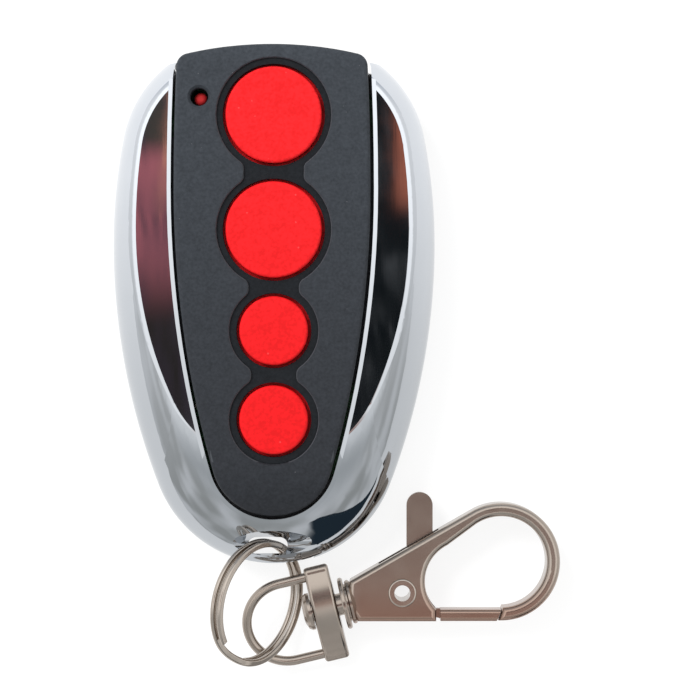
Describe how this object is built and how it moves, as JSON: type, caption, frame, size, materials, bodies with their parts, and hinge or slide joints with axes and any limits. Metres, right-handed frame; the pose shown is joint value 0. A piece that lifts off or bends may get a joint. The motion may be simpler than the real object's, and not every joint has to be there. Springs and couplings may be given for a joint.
{
  "type": "garage door remote",
  "caption": "Egg-shaped radio remote with red keys in a chromed frame, on a split ring with a swivel lobster clasp.",
  "frame": {"origin": "centre of the flat rear face, which rests on the table", "axes": "+X across the remote to the right, +Y from the key-ring end to the LED end, +Z out of the keys"},
  "size_m": [0.052, 0.072, 0.013],
  "materials": {
    "chrome_plate": "mirror polished",
    "nickel_cast": "polished nickel",
    "nickel_steel": "nickel-plated strip, satin",
    "black_abs": "fine spark texture",
    "red_abs": "satin",
    "red_rubber": "matte",
    "red_lens": "diffused red epoxy",
    "board_green": "solder mask",
    "black_mould": "matte moulded",
    "steel_can": "plain",
    "white_ceramic": "fired",
    "copper_wire": "tinned copper",
    "spring_brass": "nickel-plated spring strip",
    "screw_steel": "zinc-plated"
  },
  "bodies": {
    "remote": {"chrome_frame": "chrome_plate", "front_cover": "black_abs", "rear_cover": "black_abs", "cover_screw_1": "screw_steel", "cover_screw_2": "screw_steel", "cover_screw_3": "screw_steel", "key_mat": "red_rubber", "circuit_board": "board_green", "encoder_ic": "black_mould", "saw_resonator": "steel_can", "trim_capacitor": "white_ceramic", "transistor": "black_mould", "chip_parts": "white_ceramic", "antenna_loop": "copper_wire", "status_led": "red_lens", "led_leads": "copper_wire", "coin_cell": "steel_can", "positive_contact": "spring_brass", "negative_contact": "spring_brass", "switch_base_1": "black_mould", "switch_plate_1": "steel_can", "switch_base_2": "black_mould", "switch_plate_2": "steel_can", "switch_base_3": "black_mould", "switch_plate_3": "steel_can", "switch_base_4": "black_mould", "switch_plate_4": "steel_can"},
    "ring": {"split_ring": "nickel_steel"},
    "bail": {"bail": "nickel_cast"},
    "clasp": {"clasp_body": "nickel_cast", "swivel_rivet": "nickel_cast", "lever_eyelet": "nickel_steel", "gate_spring": "screw_steel"},
    "lever": {"gate_lever": "nickel_cast"},
    "key_1_body": {"key_1": "red_abs", "switch_plunger_1": "black_mould"},
    "key_2_body": {"key_2": "red_abs", "switch_plunger_2": "black_mould"},
    "key_3_body": {"key_3": "red_abs", "switch_plunger_3": "black_mould"},
    "key_4_body": {"key_4": "red_abs", "switch_plunger_4": "black_mould"}
  },
  "joints": [
    {"name": "key_1_press", "type": "slide", "parent": "remote", "child": "key_1_body", "axis": [0, 0, -1], "range_m": [0, 0.00035], "stiffness_N_per_m": 2500, "springref_m": -0.0001},
    {"name": "key_2_press", "type": "slide", "parent": "remote", "child": "key_2_body", "axis": [0, 0, -1], "range_m": [0, 0.00035], "stiffness_N_per_m": 2500, "springref_m": -0.0001},
    {"name": "key_3_press", "type": "slide", "parent": "remote", "child": "key_3_body", "axis": [0, 0, -1], "range_m": [0, 0.00035], "stiffness_N_per_m": 2500, "springref_m": -0.0001},
    {"name": "key_4_press", "type": "slide", "parent": "remote", "child": "key_4_body", "axis": [0, 0, -1], "range_m": [0, 0.00035], "stiffness_N_per_m": 2500, "springref_m": -0.0001},
    {"name": "ring_swing", "type": "hinge", "parent": "remote", "child": "ring", "pos_m": [0, -0.02945, 0.0059], "axis": [-1, 0, 0], "range_deg": [-25, 12]},
    {"name": "bail_swing", "type": "hinge", "parent": "ring", "child": "bail", "pos_m": [0.00103, -0.03838, 0.00231], "axis": [-0.4478, -0.8027, 0.3939], "range_deg": [-30, 1]},
    {"name": "clasp_swivel", "type": "hinge", "parent": "bail", "child": "clasp", "pos_m": [0.00593, -0.03564, 0.00315], "axis": [0.9724, 0.2334, 0], "continuous": true},
    {"name": "gate_open", "type": "hinge", "parent": "clasp", "child": "lever", "pos_m": [0.01493, -0.03368, 0.00315], "axis": [0, 0, 1], "range_deg": [0, 13], "stiffness_Nm_per_rad": 0.02, "springref_deg": -8.59}
  ]
}
